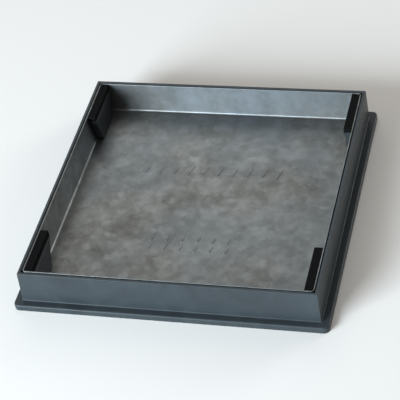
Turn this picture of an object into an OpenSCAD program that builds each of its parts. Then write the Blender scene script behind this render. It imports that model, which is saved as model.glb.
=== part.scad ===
// Recessed manhole cover for block paving: a folded steel tray in a moulded plastic frame.
// Millimetres. +Z is up, +Y is the back and +X the right. The origin is the middle of the
// bedding face, on the underside of the frame.

/* [Tray] */
// Inside width of the tray at its rim, along X
tray_w = 400; // [320:1:600]
// Inside length of the tray at its rim, along Y
tray_l = 400; // [320:1:600]
// Depth of the recess, from the rim to the tray's floor
tray_depth = 46; // [38:0.5:90]
// How far each tray wall leans in between the rim and the floor
tray_taper = 5.2; // [3:0.1:7]
// Thickness of the tray's steel sheet
sheet_t = 1.6; // [1.2:0.1:3]
// Inside radius of the folds round the tray's floor
fold_r = 3; // [1.5:0.1:3.5]
// Gap between the tray's rim and the frame, all round
tray_gap = 1.6; // [1:0.1:4]

/* [Frame] */
// Width of the frame's top rim
rim_t = 4; // [3:0.1:8]
// How far each outer wall leans out between the rim and the flange
wall_draft = 1.6; // [0.5:0.1:4]
// How far the inside of the frame's wall leans in between the rim and the ledge
core_draft = 0.8; // [0:0.1:1.2]
// How far the flange stands out from the foot of the wall
flange_w = 11.2; // [8:0.1:40]
// Height of the flange above the bedding face
flange_h = 9.5; // [6:0.1:20]
// Radius of the flange's corners, seen from above
flange_corner_r = 8; // [2:0.5:12]
// Width of the ledge under the tray, from the foot of the wall to the clear opening
ledge_w = 28; // [24:0.5:40]
// Height of the ledge above the bedding face
ledge_h = 8.4; // [6.5:0.1:20]
// Radius of the clear opening's corners
opening_corner_r = 12; // [4:0.5:20]
// Thickness of the moulding's plates and skirts
skin_t = 3; // [2:0.1:3.5]
// Thickness of the webs under the frame
web_t = 2.4; // [1.5:0.1:5]
// Distance between the webs under the frame
web_pitch = 42; // [25:1:80]

/* [Seal] */
// Width of the seal strip on the ledge
seal_w = 8; // [5:0.1:10]
// Height of the seal strip under the tray's weight
seal_h = 4; // [3:0.1:6]
// Depth of the groove that holds the seal
groove_d = 1; // [0.6:0.1:1.4]
// Clearance on each side of the seal in its groove
seal_fit = 0.2; // [0.1:0.05:0.5]
// Distance from the foot of the frame's wall to the seal's outer edge
seal_inset = 12.5; // [11.5:0.1:14]

/* [Corner pockets] */
// Width of a corner pocket, across the tray's side wall
pocket_w = 12; // [11.5:0.1:20]
// Length of a corner pocket at the rim
pocket_len = 80; // [72:1:110]
// How much the pocket's foot is cut short at its tapered end, on its free side
foot_cut = 27; // [10:1:27]
// Thickness of the pocket's shell
pocket_t = 1.8; // [1.2:0.1:2.2]
// Clearance between a pocket or cap and the tray's walls
pocket_gap = 0.3; // [0.1:0.05:0.6]
// Height of the cap above the pocket's shell
cap_h = 8; // [5:0.5:12]
// Depth of the plug that holds the cap in the pocket
plug_d = 5; // [3:0.5:8]
// Clearance round the cap's plug
plug_fit = 0.3; // [0.2:0.05:0.8]
// Width of the pry notch under the cap's free end
notch_w = 6; // [4:0.5:9]
// Height of the pry notch
notch_h = 1.6; // [1:0.1:3]

/* [Lifting eyes] */
// Diameter of the bent bar
eye_bar_d = 5; // [4:0.1:5.5]
// Height of the eye above the tray's floor, to the middle of its bar
eye_h = 14; // [12:0.5:17]
// Distance between the eye's two legs, middle to middle
eye_span = 24; // [18:0.5:28]
// Inside radius of the eye's two bends
eye_bend_r = 4; // [2:0.5:6]
// Gap between the eye and the pocket's square end
eye_gap = 4; // [1:0.5:6]

/* [Rivets] */
// Diameter of a blind rivet's shank
rivet_d = 4; // [3:0.1:4.8]
// Diameter of a rivet's head
rivet_head_d = 7.5; // [6:0.1:8.5]
// Height of a rivet's head
rivet_head_h = 1.1; // [0.8:0.1:1.4]
// Diameter of a rivet's set end
rivet_tail_d = 5.8; // [5:0.1:6.5]
// Height of a rivet's set end
rivet_tail_h = 2.4; // [1.5:0.1:3]
// Clearance round a rivet's shank
rivet_fit = 0.05; // [0.03:0.01:0.1]
// Distance from the tray's corner to the first rivet
rivet_first = 22; // [16:1:28]
// Distance between a pocket's two rivets
rivet_pitch = 30; // [20:1:36]

/* [Stiffeners] */
// Number of channels under the tray's floor
stiffener_n = 4; // [2:1:5]
// Width of a channel's closed side
channel_w = 26; // [16:1:40]
// Depth of a channel below the tray's floor
channel_d = 8; // [5:0.1:8]
// Width of each of a channel's two feet
channel_foot = 12; // [8:0.5:16]
// Thickness of a channel's sheet
channel_t = 1.5; // [1:0.1:2]
// Gap between a channel's end and the clear opening's edge
channel_gap = 6; // [3:0.5:20]

/* [Floor pattern] */
// Height of the raised bars on the tray's floor
bar_h = 0.8; // [0.4:0.1:1.5]
// Length of a bar in the long row
bar_len = 20; // [12:1:24]
// Width of a bar in the long row
bar_w = 5; // [3:0.1:7]
// Number of bars in the long row
bar_n = 10; // [4:1:11]
// Slant of the bars
bar_slant = 20; // [0:1:30]

/* [Hidden] */
STEPS = 6;           // facets in a fold
ROUND_FN = 48;       // segments in a circle
CUT = 1;             // how far a cutting shape runs past what it cuts
MIN_R = 0.5;         // smallest inside corner of the moulding
SLICE = 0.01;        // height of a slice that a hull runs between
TAPER_STEPS = 5;     // facets round the tapered end of a pocket's foot
BAR_ROW_Y = 66;      // the long row's distance behind the tray's middle
BAR_PITCH = 22;      // distance between the long row's bars
SMALL_BAR_N = 6;     // bars in each short row
SMALL_BAR_SCALE = 0.6;
SMALL_ROWS_Y = [-76, -94];

// Heights above the bedding face
floor_z = ledge_h + seal_h - groove_d + sheet_t;
top_z = floor_z + tray_depth;
under_z = floor_z - sheet_t;
cap_z = top_z - cap_h;

// The tray's walls lean by this angle, so a wall is a little thicker measured level
lean = atan(tray_taper / tray_depth);
level_t = sheet_t / cos(lean);

// Plan sizes
rim_in = level_t + tray_gap;                  // from the tray's inside to the frame's rim
rim_out = rim_in + rim_t;
wall_foot = rim_out + wall_draft;             // out to the foot of the frame's wall
flange_out = wall_foot + flange_w;
ledge_out = rim_in - core_draft;              // out to the ledge's outer edge
opening_in = ledge_w - rim_in;                // in from the tray's inside to the opening

// Inset of a tray wall's inner face at height z, and the place of that face
function wall_inset(z) = tray_taper * (top_z - z) / tray_depth;
function wall_x(z) = tray_w / 2 - wall_inset(z);
function wall_y(z) = tray_l / 2 - wall_inset(z);

// A symmetrical outline for size s through rows of [inset, height], from the bottom up
function outline(s, rows) = concat(
    [for (r = rows) [s / 2 - r[0], r[1]]],
    [for (i = [len(rows) - 1:-1:0]) [rows[i][0] - s / 2, rows[i][1]]]);

// The same outline run along both sides and crossed, so its corners are mitred
module crossed(rows) {
    reach = max(tray_w, tray_l);
    intersection() {
        rotate([90, 0, 0]) linear_extrude(2 * reach, center = true) polygon(outline(tray_w, rows));
        rotate([90, 0, 90]) linear_extrude(2 * reach, center = true) polygon(outline(tray_l, rows));
    }
}

// A flat rectangle that stands out from the tray's inside by `out`, with round corners
module plate_2d(out, r) {
    w = tray_w + 2 * out;
    l = tray_l + 2 * out;
    square([w, l - 2 * r], center = true);
    square([w - 2 * r, l], center = true);
    for (x = [-1, 1], y = [-1, 1]) translate([x * (w / 2 - r), y * (l / 2 - r)]) circle(r, $fn = ROUND_FN);
}

module plate(out, r, z, h) {
    translate([0, 0, z]) linear_extrude(h) plate_2d(out, r);
}

// A square-cornered block that stands out from the tray's inside by `out`
module block(out, z, h) {
    translate([0, 0, z]) linear_extrude(h) square([tray_w + 2 * out, tray_l + 2 * out], center = true);
}

// A square-cornered ring between two distances from the tray's inside
module ring(out, in, z, h) {
    translate([0, 0, z]) linear_extrude(h) difference() {
        square([tray_w + 2 * out, tray_l + 2 * out], center = true);
        square([tray_w + 2 * in, tray_l + 2 * in], center = true);
    }
}

// Puts a shape made for the back right pocket into another corner. All four pockets are the
// same hand: the front one is slid along the wall, and the left ones are turned half round.
module at_pocket(side, end) {
    rotate([0, 0, side < 0 ? 180 : 0])
        translate([0, side * end < 0 ? pocket_len - tray_l : 0, 0]) children();
}

// ---- Frame ----

// Webs across the ring under the frame, spaced evenly along each side
module webs() {
    h = max(ledge_h, flange_h);
    for (k = [0, 1]) {
        along = k == 0 ? tray_w : tray_l;
        across = k == 0 ? tray_l : tray_w;
        n = max(1, round((along - 2 * opening_in) / web_pitch));
        step = (along - 2 * opening_in) / n;
        rotate([0, 0, 90 * k]) for (i = [0:n])
            translate([(i - n / 2) * step - web_t / 2, -across / 2 - flange_out, 0])
                cube([web_t, across + 2 * flange_out, h]);
    }
}

// The hollows between the skirts under the flange and under the ledge
module underside_hollows() {
    flange_hollow_h = flange_h - skin_t;
    ledge_hollow_h = ledge_h - groove_d - skin_t;
    difference() {
        plate(flange_out - skin_t, max(MIN_R, flange_corner_r - skin_t), -CUT, flange_hollow_h + CUT);
        block(wall_foot, -2 * CUT, flange_hollow_h + 3 * CUT);
        webs();
    }
    difference() {
        ring(ledge_out, skin_t - opening_in, -CUT, ledge_hollow_h + CUT);
        webs();
    }
}

module frame() {
    color("#3a4248") difference() {
        union() {
            plate(flange_out, flange_corner_r, 0, flange_h);
            crossed([[-wall_foot, 0], [-wall_foot, flange_h], [-rim_out, top_z]]);
        }
        crossed([[-ledge_out, ledge_h], [-rim_in, top_z], [-rim_in, top_z + CUT]]);
        plate(-opening_in, opening_corner_r, -CUT, ledge_h + 2 * CUT);
        ring(ledge_out - seal_inset + seal_fit, ledge_out - seal_inset - seal_w - seal_fit,
            ledge_h - groove_d, groove_d + CUT);
        underside_hollows();
    }
}

module frame_seal() {
    color("#1b1c1d") ring(ledge_out - seal_inset, ledge_out - seal_inset - seal_w, ledge_h - groove_d, seal_h);
}

// ---- Tray ----

// How far in from the rim the centre of the folds round the floor lies: the floor is flat from there
function fold_in(r) = tray_taper * (tray_depth - r) / tray_depth + r / cos(lean);

// Rows up a tray wall, round the fold's own centre at radius r
function fold_rows(r) = [for (i = [0:STEPS]) let (a = i * (90 - lean) / STEPS)
    [fold_in(fold_r) - r * sin(a), floor_z + fold_r - r * cos(a)]];

// One raised bar of the floor's pattern, standing along Y
module floor_bar(len, w) {
    rotate([0, 0, -bar_slant]) translate([0, 0, floor_z - sheet_t / 2]) linear_extrude(sheet_t / 2 + bar_h) {
        square([w, len - w], center = true);
        for (e = [-1, 1]) translate([0, e * (len - w) / 2]) circle(d = w, $fn = ROUND_FN);
    }
}

module bar_row(n, pitch, y, len, w) {
    for (i = [0:n - 1]) translate([(i - (n - 1) / 2) * pitch, y, 0]) floor_bar(len, w);
}

// A rivet's own axis: it starts on the inner face of a tray's side wall and points inwards,
// half way up between the lifting eye and the cap's plug
module at_rivet(i) {
    z = (floor_z + eye_h + eye_bar_d / 2 + cap_z - plug_d) / 2;
    translate([wall_x(z), wall_y(z) - rivet_first - i * rivet_pitch, z])
        rotate([0, lean - 90, 0]) children();
}

module rivet_holes() {
    depth = sheet_t + pocket_t + pocket_gap + 2 * CUT;
    for (i = [0, 1]) at_rivet(i) translate([0, 0, -sheet_t - CUT])
        cylinder(h = depth, r = rivet_d / 2 + rivet_fit, $fn = ROUND_FN);
}

module recess_tray() {
    color("#8b8f90") difference() {
        union() {
            difference() {
                crossed(concat(fold_rows(fold_r + sheet_t), [[-level_t, top_z]]));
                crossed(concat(fold_rows(fold_r), [[0, top_z], [0, top_z + CUT]]));
            }
            bar_row(bar_n, BAR_PITCH, BAR_ROW_Y, bar_len, bar_w);
            for (y = SMALL_ROWS_Y)
                bar_row(SMALL_BAR_N, BAR_PITCH, y, bar_len * SMALL_BAR_SCALE, bar_w * SMALL_BAR_SCALE);
        }
        for (side = [-1, 1], end = [-1, 1]) at_pocket(side, end) rivet_holes();
    }
}

// A shallow top-hat channel with both feet against the tray's floor
module floor_stiffener(i) {
    pitch = (tray_w - 2 * opening_in) / stiffener_n;
    half = channel_w / 2;
    length = tray_l - 2 * opening_in - 2 * channel_gap;
    color("#7d8284") translate([(i - (stiffener_n - 1) / 2) * pitch, 0, under_z])
        rotate([90, 0, 0]) linear_extrude(length, center = true) difference() {
            union() {
                translate([-half - channel_foot, -channel_t]) square([channel_w + 2 * channel_foot, channel_t]);
                translate([-half, -channel_d]) square([channel_w, channel_d]);
            }
            translate([channel_t - half, channel_t - channel_d])
                square([channel_w - 2 * channel_t, channel_d]);
        }
}

// ---- Corner pockets, made for the back right corner ----

// The pocket's two ends at height z, and its free side. Both ends lean as the tray's walls do.
function square_end(z) = wall_y(z) - pocket_gap;
function taper_end(z) = tray_l / 2 - pocket_len + wall_inset(z) + pocket_gap;
function free_x(z) = wall_x(z) - pocket_w;
// How far the tapered end is cut short at height z, a share u of the way to the free side
function cut_at(z, u) = foot_cut * u * u * (cap_z - z) / (cap_z - floor_z);

// A pocket's outline at height z, drawn in by t all round, by `side` more from the tray's side
// wall and by `end` more at both ends
function pocket_outline(z, t, side, end) = let (
    x1 = wall_x(z) - pocket_gap - t - side,
    x0 = free_x(z) + t,
    y1 = square_end(z) - t - end,
    y0 = taper_end(z) + t + end)
    concat([[x1, y1], [x0, y1]],
        [for (i = [TAPER_STEPS:-1:0]) let (u = i / TAPER_STEPS) [x1 + (x0 - x1) * u, y0 + cut_at(z, u)]]);

module slice(z, t, side, end) {
    translate([0, 0, z]) linear_extrude(SLICE) polygon(pocket_outline(z, t, side, end));
}

// The pocket's shape drawn in by t, with its foot's edges clear of the tray's folds
module pocket_shape(t, side) {
    hull() {
        slice(floor_z, t, side, fold_r);
        slice(floor_z + fold_r, t, 0, 0);
        slice(cap_z - SLICE, t, 0, 0);
    }
}

module key_pocket(side, end) {
    color("#26292b") at_pocket(side, end) difference() {
        pocket_shape(0, fold_r);
        pocket_shape(pocket_t, 0);
        translate([0, 0, cap_z - CUT]) linear_extrude(2 * CUT) polygon(pocket_outline(cap_z, pocket_t, 0, 0));
        translate([0, 0, floor_z - CUT]) linear_extrude(CUT + SLICE)
            polygon(pocket_outline(floor_z, pocket_t, 0, fold_r));
        rivet_holes();
    }
}

// The cap leans with the tray's walls; its plug stands straight, so that it draws straight out
module pocket_cap(side, end) {
    plug_z = cap_z - plug_d;
    plug_x0 = free_x(cap_z) + pocket_t + plug_fit;
    plug_x1 = wall_x(plug_z) - pocket_gap - pocket_t - plug_fit;
    plug_y0 = taper_end(plug_z) + cut_at(plug_z, 1) + pocket_t + plug_fit;
    plug_y1 = square_end(plug_z) - pocket_t - plug_fit;
    notch_x = free_x(cap_z) + (pocket_w - pocket_gap) / 2;
    color("#151617") at_pocket(side, end) {
        difference() {
            hull() for (z = [cap_z, top_z - SLICE]) translate([0, 0, z]) linear_extrude(SLICE)
                polygon([[wall_x(z) - pocket_gap, square_end(z)], [free_x(z), square_end(z)],
                    [free_x(z), taper_end(z)], [wall_x(z) - pocket_gap, taper_end(z)]]);
            for (y = [square_end(cap_z), taper_end(cap_z)])
                translate([notch_x - notch_w / 2, y - pocket_t / 2, cap_z - CUT])
                    cube([notch_w, pocket_t, notch_h + CUT]);
        }
        translate([plug_x0, plug_y0, plug_z]) cube([plug_x1 - plug_x0, plug_y1 - plug_y0, plug_d]);
    }
}

// A round bar bent into a staple, its two legs welded to the tray's floor
module lifting_eye(side, end) {
    turn_r = eye_bend_r + eye_bar_d / 2;
    reach = eye_span / 2 - turn_r;
    x = (free_x(floor_z + eye_h + eye_bar_d / 2) + pocket_t + tray_w / 2 - fold_in(fold_r)) / 2;
    y = square_end(floor_z) - fold_r - pocket_t - eye_gap - (eye_span + eye_bar_d) / 2;
    color("#9a9d9e") at_pocket(side, end)
        translate([x, y, floor_z]) {
            for (e = [0, 180]) rotate([0, 0, e]) {
                translate([0, eye_span / 2, 0]) cylinder(h = eye_h - turn_r, d = eye_bar_d, $fn = ROUND_FN);
                translate([0, reach, eye_h - turn_r]) rotate([90, 0, 90])
                    rotate_extrude(angle = 90, $fn = ROUND_FN)
                        translate([turn_r, 0]) circle(d = eye_bar_d, $fn = ROUND_FN);
            }
            translate([0, 0, eye_h]) rotate([90, 0, 0])
                cylinder(h = 2 * reach, d = eye_bar_d, center = true, $fn = ROUND_FN);
        }
}

// Every blind rivet: head outside the tray, set end inside the pocket
module pocket_rivets() {
    grip = sheet_t + pocket_gap * cos(lean) + pocket_t * cos(lean);
    color("#a3a7a8") for (side = [-1, 1], end = [-1, 1]) at_pocket(side, end) for (i = [0, 1]) at_rivet(i) {
        translate([0, 0, -sheet_t - rivet_head_h]) rotate_extrude($fn = ROUND_FN)
            polygon([[0, 0], [rivet_head_d * 0.25, 0], [rivet_head_d * 0.42, rivet_head_h * 0.4],
                [rivet_head_d / 2, rivet_head_h], [0, rivet_head_h]]);
        translate([0, 0, -sheet_t]) cylinder(h = grip, d = rivet_d, $fn = ROUND_FN);
        translate([0, 0, grip - sheet_t]) cylinder(h = rivet_tail_h, d = rivet_tail_d, $fn = ROUND_FN);
    }
}

CORNERS = [["front_left", -1, -1], ["front_right", 1, -1], ["back_left", -1, 1], ["back_right", 1, 1]];

frame();
frame_seal();
recess_tray();
pocket_rivets();
for (i = [1:stiffener_n]) floor_stiffener(i - 1);
for (c = CORNERS) key_pocket(c[1], c[2]);
for (c = CORNERS) pocket_cap(c[1], c[2]);
for (c = CORNERS) lifting_eye(c[1], c[2]);
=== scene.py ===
"""Recessed manhole cover: a galvanised steel tray for paving blocks, seated in a moulded plastic frame.

Sizes in the classes are millimetres. Meshes are in metres, in the model's own frame: +Z is up,
+Y the back, +X the right, and the origin is the middle of the frame's bedding face.
"""
import logging
import math
from collections.abc import Callable
from dataclasses import dataclass, field
from enum import Enum
from functools import partial

import bmesh
import bpy
from mathutils import Euler, Matrix, Vector


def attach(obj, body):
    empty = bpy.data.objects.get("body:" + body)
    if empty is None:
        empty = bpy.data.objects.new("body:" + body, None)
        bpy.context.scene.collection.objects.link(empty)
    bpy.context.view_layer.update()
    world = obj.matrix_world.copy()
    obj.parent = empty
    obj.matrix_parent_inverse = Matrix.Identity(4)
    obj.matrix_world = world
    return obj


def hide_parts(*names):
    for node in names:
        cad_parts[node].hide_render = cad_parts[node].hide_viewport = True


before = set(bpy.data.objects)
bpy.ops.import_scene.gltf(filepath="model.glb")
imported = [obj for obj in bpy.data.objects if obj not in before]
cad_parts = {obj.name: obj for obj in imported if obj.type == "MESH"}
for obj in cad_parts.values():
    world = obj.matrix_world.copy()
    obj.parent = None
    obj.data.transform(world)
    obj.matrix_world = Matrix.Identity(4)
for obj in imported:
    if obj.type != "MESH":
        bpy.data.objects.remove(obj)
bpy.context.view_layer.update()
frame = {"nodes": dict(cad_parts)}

LOG = logging.getLogger("manhole_cover")
MM = 0.001
Point = tuple[float, float]
Ring = list[Vector]
Faces = list[tuple[int, ...]]
Adder = Callable[..., bpy.types.Node]


class Corner(Enum):
    """The tray's four corners: which side wall, and which end of it."""

    FRONT_LEFT = (-1, -1)
    FRONT_RIGHT = (1, -1)
    BACK_LEFT = (-1, 1)
    BACK_RIGHT = (1, 1)

    @property
    def label(self) -> str:
        """The corner's name, as the model's nodes spell it."""
        return self.name.lower()


class Side(Enum):
    """The cover's four sides, as turns about Z from the front, in degrees."""

    FRONT = 0
    RIGHT = 90
    BACK = 180
    LEFT = 270


# ---- Sizes that pieces share ----


@dataclass(frozen=True)
class CoverSizes:
    """The sizes that more than one piece depends on, in millimetres."""

    tray: float = 400.0
    depth: float = 46.0
    taper: float = 5.2
    sheet: float = 1.6
    fold: float = 3.0
    gap: float = 1.6
    rim: float = 4.0
    draft: float = 1.6
    core_draft: float = 0.8
    flange: float = 11.2
    flange_h: float = 9.5
    ledge: float = 28.0
    ledge_h: float = 8.4
    groove: float = 1.0
    seal_w: float = 8.0
    seal_h: float = 4.0
    seal_fit: float = 0.2
    seal_inset: float = 12.5
    pocket_len: float = 80.0
    pocket_w: float = 12.0
    pocket_gap: float = 0.3
    pocket_t: float = 1.8
    foot_cut: float = 27.0
    cap_h: float = 8.0
    plug: float = 5.0
    eye_h: float = 14.0
    eye_bar: float = 5.0
    eye_span: float = 24.0
    eye_gap: float = 4.0

    @property
    def floor_z(self) -> float:
        """Height of the tray's floor."""
        return self.ledge_h + self.seal_h - self.groove + self.sheet

    @property
    def top_z(self) -> float:
        """Height of the rim."""
        return self.floor_z + self.depth

    @property
    def under_z(self) -> float:
        """Height of the underside of the tray's floor."""
        return self.floor_z - self.sheet

    @property
    def cap_z(self) -> float:
        """Height of the joint between a pocket and its cap."""
        return self.top_z - self.cap_h

    @property
    def lean(self) -> float:
        """Lean of the tray's walls, in radians."""
        return math.atan(self.taper / self.depth)

    @property
    def level_t(self) -> float:
        """Thickness of a tray wall, measured level."""
        return self.sheet / math.cos(self.lean)

    @property
    def rim_in(self) -> float:
        """Distance from the tray's inside out to the frame's rim."""
        return self.level_t + self.gap

    @property
    def rim_out(self) -> float:
        """Distance from the tray's inside out to the outside of the frame's rim."""
        return self.rim_in + self.rim

    @property
    def wall_foot(self) -> float:
        """Distance out to the foot of the frame's wall."""
        return self.rim_out + self.draft

    @property
    def ledge_out(self) -> float:
        """Distance out to the ledge's outer edge."""
        return self.rim_in - self.core_draft

    @property
    def opening(self) -> float:
        """Distance out to the clear opening, which is negative: it lies inside the tray's wall."""
        return self.rim_in - self.ledge

    @property
    def fold_in(self) -> float:
        """Distance in from the rim to where the tray's floor is flat."""
        return self.taper * (self.depth - self.fold) / self.depth + self.fold / math.cos(self.lean)

    def inset(self, z: float) -> float:
        """How far a tray wall's inner face leans in at height z."""
        return self.taper * (self.top_z - z) / self.depth

    def wall(self, z: float) -> float:
        """Distance from the middle to a tray wall's inner face at height z."""
        return self.tray / 2 - self.inset(z)

    def free_x(self, z: float) -> float:
        """X of a right-hand pocket's free side at height z."""
        return self.wall(z) - self.pocket_w

    def square_end(self, z: float) -> float:
        """Y of the back right pocket's square end at height z."""
        return self.wall(z) - self.pocket_gap

    def taper_end(self, z: float) -> float:
        """Y of the back right pocket's tapered end at height z."""
        return self.tray / 2 - self.pocket_len + self.inset(z) + self.pocket_gap


SIZES = CoverSizes()


# ---- Mesh helpers ----


# a rounding takes at most this share of the shorter edge beside it
ROUNDING_SHARE = 0.45
# how far past a rounding its holding points lie, as a share of its reach
HOLD_SHARE = 0.35
# how hard a rounding is pulled to the corner: this brings it close to an arc
CORNER_PULL = 0.86


def fillet(points: list[Point], radii: list[float], steps: int = 4, closed: bool = True) -> list[Point]:
    """Rounds the corners of an outline, and holds each rounding with a point on both sides of it.

    Args:
        points: The outline's corners.
        radii: One radius for each corner, and 0 for a corner that stays as it is.
        steps: Facets in each rounding.
        closed: Whether the last point joins the first.

    Returns:
        The rounded outline, in the same order.
    """
    out: list[Point] = []
    count = len(points)
    for i, (here, radius) in enumerate(zip(points, radii)):
        if radius <= 0 or (not closed and i in (0, count - 1)):
            out.append(here)
            continue
        p, a, b = Vector(here), Vector(points[i - 1]), Vector(points[(i + 1) % count])
        to_a, to_b = (a - p), (b - p)
        room = min(to_a.length, to_b.length) * ROUNDING_SHARE
        to_a.normalize()
        to_b.normalize()
        half = to_a.angle(to_b, math.pi) / 2
        reach = min(radius / max(math.tan(half), 1e-4), room)
        start, end = p + to_a * reach, p + to_b * reach
        # the count never depends on the room, so that rings made from one outline always match
        hold = max(0.0, min(reach * HOLD_SHARE, room - reach))
        out.append(tuple(p + to_a * (reach + hold)))
        for k in range(steps + 1):
            t = k / steps
            near = start * (1 - t) ** 2 + p * 2 * t * (1 - t) * CORNER_PULL
            out.append(tuple(near + (start + end) * t * (1 - t) * (1 - CORNER_PULL) + end * t**2))
        out.append(tuple(p + to_b * (reach + hold)))
    return out


def mesh_object(name: str, verts: list[Vector], faces: Faces, smooth: float = 35.0) -> bpy.types.Object:
    """Makes a mesh object at the origin from millimetre points.

    Args:
        name: The piece's name.
        verts: Its points, in millimetres.
        faces: Its faces, as indices.
        smooth: Edges sharper than this many degrees stay sharp.

    Returns:
        The new object, linked to the scene.
    """
    mesh = bpy.data.meshes.new(name)
    mesh.from_pydata([tuple(v * MM) for v in verts], [], faces)
    work = bmesh.new()
    work.from_mesh(mesh)
    bmesh.ops.remove_doubles(work, verts=work.verts, dist=1e-7)
    bmesh.ops.dissolve_degenerate(work, edges=work.edges, dist=1e-7)
    work.to_mesh(mesh)
    work.free()
    mesh.shade_smooth()
    mesh.set_sharp_from_angle(angle=math.radians(smooth))
    piece = bpy.data.objects.new(name, mesh)
    bpy.context.scene.collection.objects.link(piece)
    return piece


def loft(
    rings: list[Ring], close: bool = False, cap_first: bool = False, cap_last: bool = False
) -> tuple[list[Vector], Faces]:
    """Joins rings of equal length with quads.

    Args:
        rings: The rings, each anticlockwise about the direction in which they climb.
        close: Whether the last ring joins the first.
        cap_first: Whether to close the first ring with one face.
        cap_last: Whether to close the last ring with one face.

    Returns:
        The points and the faces.
    """
    size = len(rings[0])
    if any(len(ring) != size for ring in rings):
        raise ValueError(f"rings differ in length: {sorted({len(ring) for ring in rings})}")
    verts = [v for ring in rings for v in ring]
    faces: Faces = []
    for i in range(len(rings) if close else len(rings) - 1):
        low, high = i * size, ((i + 1) % len(rings)) * size
        for j in range(size):
            k = (j + 1) % size
            faces.append((low + j, low + k, high + k, high + j))
    if cap_first:
        faces.append(tuple(reversed(range(size))))
    if cap_last:
        faces.append(tuple(range((len(rings) - 1) * size, len(rings) * size)))
    return verts, faces


def square_ring(out: float, z: float, corner: float, steps: int = 6) -> Ring:
    """One ring round the cover, with round corners and a holding point beside each.

    Args:
        out: Distance out from the tray's inside, negative towards the middle.
        z: Height.
        corner: Radius of the corners, seen from above.
        steps: Facets in each corner.

    Returns:
        The ring's points, anticlockwise seen from above.
    """
    reach = SIZES.tray / 2 + out
    corner = max(corner, 0.25)
    hold = 0.5 + corner * 0.3
    ring: Ring = []
    for quarter in range(4):
        turn = Matrix.Rotation(math.radians(90 * quarter), 3, "Z")
        middle = reach - corner
        ring.append(turn @ Vector((reach, middle - hold, z)))
        for k in range(steps + 1):
            a = math.radians(90 * k / steps)
            ring.append(turn @ Vector((middle + corner * math.cos(a), middle + corner * math.sin(a), z)))
        ring.append(turn @ Vector((middle - hold, reach, z)))
    return ring


def placed(corner: Corner) -> Matrix:
    """The move from the back right corner to another. All the pockets are one hand.

    Args:
        corner: Where the piece goes.

    Returns:
        The move, in millimetres.
    """
    side, end = corner.value
    slide = SIZES.pocket_len - SIZES.tray if side * end < 0 else 0.0
    turn = Matrix.Rotation(math.pi if side < 0 else 0.0, 4, "Z")
    return turn @ Matrix.Translation((0, slide, 0))


def joined(name: str, parts: list[bpy.types.Object]) -> bpy.types.Object:
    """Joins mesh objects at the origin into one.

    Args:
        name: The new piece's name.
        parts: The objects to join, which are removed.

    Returns:
        The joined object.
    """
    work = bmesh.new()
    finishes: list[bpy.types.Material] = []
    for part in parts:
        start = len(work.faces)
        work.from_mesh(part.data)
        work.faces.ensure_lookup_table()
        own = list(part.data.materials) or [None]
        for face in work.faces[start:]:
            finish = own[min(face.material_index, len(own) - 1)]
            if finish not in finishes:
                finishes.append(finish)
            face.material_index = finishes.index(finish)
    mesh = bpy.data.meshes.new(name)
    work.to_mesh(mesh)
    work.free()
    for finish in finishes:
        mesh.materials.append(finish)
    for part in parts:
        data = part.data
        bpy.data.objects.remove(part)
        bpy.data.meshes.remove(data)
    piece = bpy.data.objects.new(name, mesh)
    bpy.context.scene.collection.objects.link(piece)
    return piece


# ---- Nodes ----


def add_node(
    tree: bpy.types.NodeTree, kind: str, settings: dict | None = None, links: dict | None = None
) -> bpy.types.Node:
    """Adds a node with its settings and links.

    Args:
        tree: The tree to add to.
        kind: The node's type.
        settings: Values by property name, or by input name or number.
        links: Output sockets by input name or number.

    Returns:
        The new node.
    """
    node = tree.nodes.new(kind)
    for key, value in (settings or {}).items():
        if isinstance(key, str) and key in node.bl_rna.properties:
            setattr(node, key, value)
        else:
            node.inputs[key].default_value = value
    for key, socket in (links or {}).items():
        tree.links.new(socket, node.inputs[key])
    return node


def linear(code: str) -> tuple[float, float, float, float]:
    """Turns an sRGB hex colour into linear values.

    Args:
        code: The colour, such as "#8C8F8E".

    Returns:
        Red, green, blue and an alpha of 1.
    """
    parts = [int(code[i : i + 2], 16) / 255 for i in (1, 3, 5)]
    return tuple(c / 12.92 if c <= 0.04045 else ((c + 0.055) / 1.055) ** 2.4 for c in parts) + (1.0,)


def per_metre(size_mm: float) -> float:
    """The texture scale at which a pattern's features are about this many millimetres across."""
    return 1000.0 / size_mm


def started(name: str) -> tuple[bpy.types.Material, Adder, bpy.types.NodeSocket]:
    """Starts a material whose pattern lies on the object itself.

    Args:
        name: The material's name.

    Returns:
        The material, what adds a node to it, and its Object coordinates.
    """
    mat = bpy.data.materials.new(name)
    mat.use_nodes = True
    add = partial(add_node, mat.node_tree)
    return mat, add, add("ShaderNodeTexCoord").outputs["Object"]


def surfaced(mat: bpy.types.Material, sockets: dict[str, object]) -> bpy.types.Material:
    """Sets or links the sockets of a material's shader.

    Args:
        mat: The material.
        sockets: By input name, the output to link, or a value that is the same all over.

    Returns:
        The same material.
    """
    shader = mat.node_tree.nodes["Principled BSDF"]
    for name, given in sockets.items():
        if isinstance(given, bpy.types.NodeSocket):
            mat.node_tree.links.new(given, shader.inputs[name])
        else:
            shader.inputs[name].default_value = given
    return mat


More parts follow.
